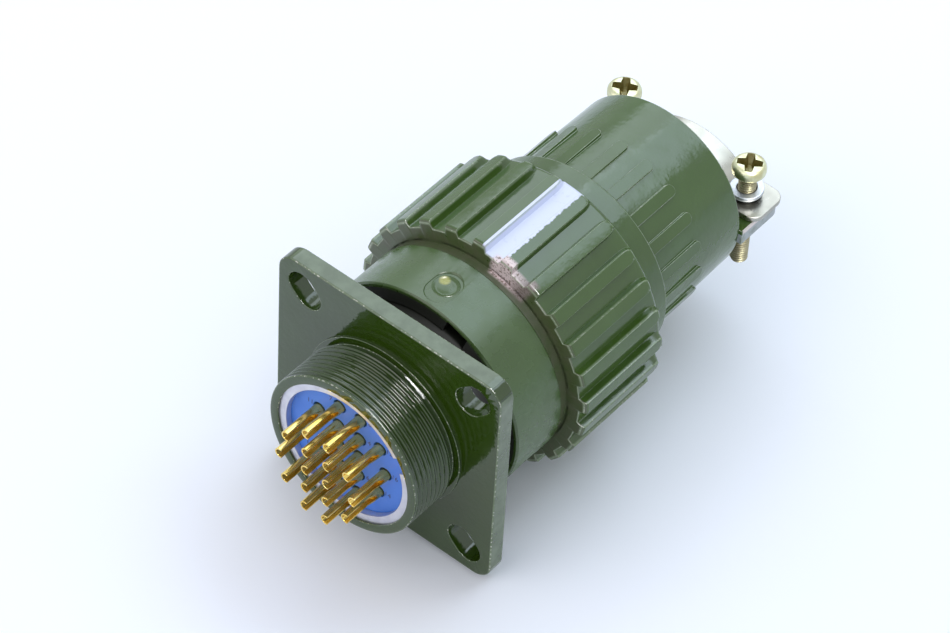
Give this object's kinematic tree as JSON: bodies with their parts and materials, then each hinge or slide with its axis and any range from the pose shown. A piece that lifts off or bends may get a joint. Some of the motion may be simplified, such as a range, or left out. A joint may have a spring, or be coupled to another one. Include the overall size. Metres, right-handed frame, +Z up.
{
  "type": "bayonet circular connector",
  "caption": "Circular bayonet connector pair: square-flange receptacle with solder-cup pins, mated to a cable plug with ribbed coupling ring, backshell and screw clamp.",
  "frame": {"origin": "centre of the square flange's rear face, which seats on the panel", "axes": "+X along the connector's axis from the receptacle to the cable, +Z up through one stud and the clamp screws' heads"},
  "size_m": [0.0903, 0.0436, 0.0435],
  "materials": {
    "olive_enamel": "gloss olive enamel over aluminium alloy, with a white index mark on the coupling ring",
    "chromated_brass": "yellow chromated, turned",
    "black_rubber": "matt moulded rubber",
    "blue_insert_plastic": "moulded thermoset, satin",
    "satin_aluminium": "turned, bright",
    "gold_plate": "gold plated brass, polished",
    "spring_steel": "rolled spring steel",
    "nickel_plate": "nickel plated steel",
    "yellow_zinc_plate": "yellow zinc plated steel"
  },
  "bodies": {
    "receptacle": {"receptacle_shell": "olive_enamel", "bayonet_stud_1": "chromated_brass", "bayonet_stud_2": "chromated_brass", "bayonet_stud_3": "chromated_brass", "receptacle_gasket": "black_rubber", "pin_insert_front": "blue_insert_plastic", "pin_insert_rear": "blue_insert_plastic", "insert_retaining_ring": "satin_aluminium", "pin_contact_01": "gold_plate", "pin_contact_02": "gold_plate", "pin_contact_03": "gold_plate", "pin_contact_04": "gold_plate", "pin_contact_05": "gold_plate", "pin_contact_06": "gold_plate", "pin_contact_07": "gold_plate", "pin_contact_08": "gold_plate", "pin_contact_09": "gold_plate", "pin_contact_10": "gold_plate", "pin_contact_11": "gold_plate", "pin_contact_12": "gold_plate", "pin_contact_13": "gold_plate", "pin_contact_14": "gold_plate", "pin_contact_15": "gold_plate", "pin_contact_16": "gold_plate"},
    "plug": {"plug_shell": "olive_enamel", "interface_seal": "black_rubber", "socket_insert_front": "blue_insert_plastic", "socket_insert_rear": "blue_insert_plastic", "socket_retaining_ring": "satin_aluminium", "socket_contact_01": "gold_plate", "socket_contact_02": "gold_plate", "socket_contact_03": "gold_plate", "socket_contact_04": "gold_plate", "socket_contact_05": "gold_plate", "socket_contact_06": "gold_plate", "socket_contact_07": "gold_plate", "socket_contact_08": "gold_plate", "socket_contact_09": "gold_plate", "socket_contact_10": "gold_plate", "socket_contact_11": "gold_plate", "socket_contact_12": "gold_plate", "socket_contact_13": "gold_plate", "socket_contact_14": "gold_plate", "socket_contact_15": "gold_plate", "socket_contact_16": "gold_plate", "backshell": "olive_enamel", "cable_grommet": "black_rubber", "grommet_washer": "satin_aluminium", "wave_spring": "spring_steel"},
    "coupling_ring": {"coupling_ring": "olive_enamel", "thrust_washer": "satin_aluminium", "snap_ring": "spring_steel"},
    "clamp_strap": {"clamp_strap": "nickel_plate", "flat_washer_left": "nickel_plate", "flat_washer_right": "nickel_plate", "spring_washer_left": "nickel_plate", "spring_washer_right": "nickel_plate"},
    "clamp_screw_left": {"clamp_screw_left": "yellow_zinc_plate"},
    "clamp_screw_right": {"clamp_screw_right": "yellow_zinc_plate"}
  },
  "joints": [
    {"name": "plug_slide", "type": "slide", "parent": "receptacle", "child": "plug", "axis": [1, 0, 0], "range_m": [0, 0.0022]},
    {"name": "ring_turn", "type": "hinge", "parent": "plug", "child": "coupling_ring", "pos_m": [0.0245, 0, 0], "axis": [1, 0, 0], "range_deg": [0, 100]},
    {"name": "strap_lift", "type": "slide", "parent": "plug", "child": "clamp_strap", "axis": [0, 0, 1], "range_m": [0, 0.002]},
    {"name": "screw_right_turn", "type": "hinge", "parent": "clamp_strap", "child": "clamp_screw_right", "pos_m": [0.071, -0.0122, 0], "axis": [0, 0, 1], "range_deg": [0, 1440]},
    {"name": "screw_left_turn", "type": "hinge", "parent": "clamp_strap", "child": "clamp_screw_left", "pos_m": [0.071, 0.0122, 0], "axis": [0, 0, 1], "range_deg": [0, 1440]}
  ],
  "couplings": [
    {"joint": "ring_turn", "follows": "plug_slide", "rad_per_m": 793.33},
    {"joint": "screw_right_turn", "follows": "strap_lift", "rad_per_m": 12566},
    {"joint": "screw_left_turn", "follows": "strap_lift", "rad_per_m": 12566}
  ]
}
